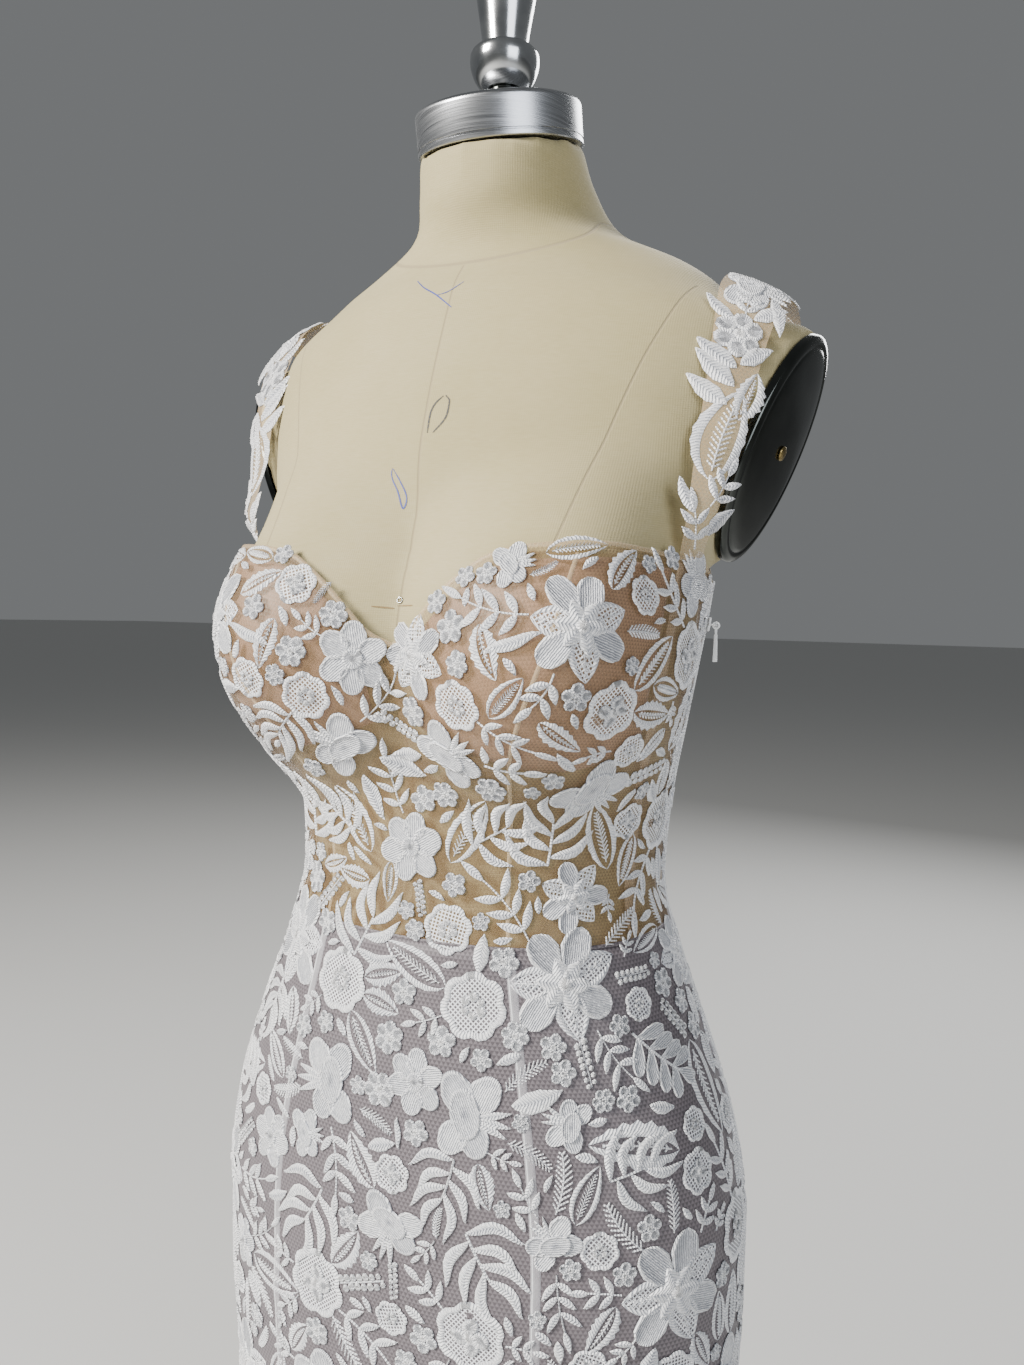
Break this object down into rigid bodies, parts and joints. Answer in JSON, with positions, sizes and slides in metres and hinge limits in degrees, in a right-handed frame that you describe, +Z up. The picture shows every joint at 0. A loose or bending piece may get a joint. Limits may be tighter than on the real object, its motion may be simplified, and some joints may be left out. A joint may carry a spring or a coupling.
{
  "type": "wedding dress on a limbless dress form with a stand",
  "caption": "Fitted lace wedding dress with a sweetheart neckline, wide shoulder straps and a trumpet skirt, worn by a limbless dress form on a pole and a round base.",
  "frame": {"origin": "centre of the stand base's underside, on the floor", "axes": "+Z up, -Y the way the dress faces, +X the wearer's left"},
  "size_m": [0.8771, 0.8266, 1.631],
  "materials": {
    "nude_net": "sheer nude net under white corded lace",
    "cup_cloth": "smooth nude lining",
    "lace_skirt": "white corded lace on net over a pale lining",
    "linen": "fine linen weave",
    "steel": "brushed and polished",
    "dark_steel": "dark polished",
    "brass_screw": "aged",
    "white_metal": "white enamel"
  },
  "bodies": {
    "dress_and_form": {"bodice_front": "nude_net", "bodice_side_front_left": "nude_net", "bodice_side_front_right": "nude_net", "bodice_side_left": "nude_net", "bodice_side_right": "nude_net", "bodice_back_left": "nude_net", "bodice_back_right": "nude_net", "strap_left": "nude_net", "strap_right": "nude_net", "cup_left": "cup_cloth", "cup_right": "cup_cloth", "skirt_front": "lace_skirt", "skirt_side_front_left": "lace_skirt", "skirt_side_front_right": "lace_skirt", "skirt_back_left": "lace_skirt", "skirt_back_right": "lace_skirt", "form_body": "linen", "form_neck_cap": "steel", "form_finial": "steel", "form_finial_stem": "dark_steel", "form_arm_plate_left": "dark_steel", "form_arm_plate_right": "dark_steel", "form_plate_screw_left": "brass_screw", "form_plate_screw_right": "brass_screw", "stand_pole": "steel", "stand_base": "steel", "zip_slider": "white_metal"},
    "zip_pull": {"zip_pull": "white_metal"}
  },
  "joints": [
    {"name": "zip_pull_swing", "type": "hinge", "parent": "dress_and_form", "child": "zip_pull", "pos_m": [0.14321, 0.02897, 1.21696], "axis": [0.2418, -0.9703, 0], "range_deg": [-18, 150]}
  ]
}
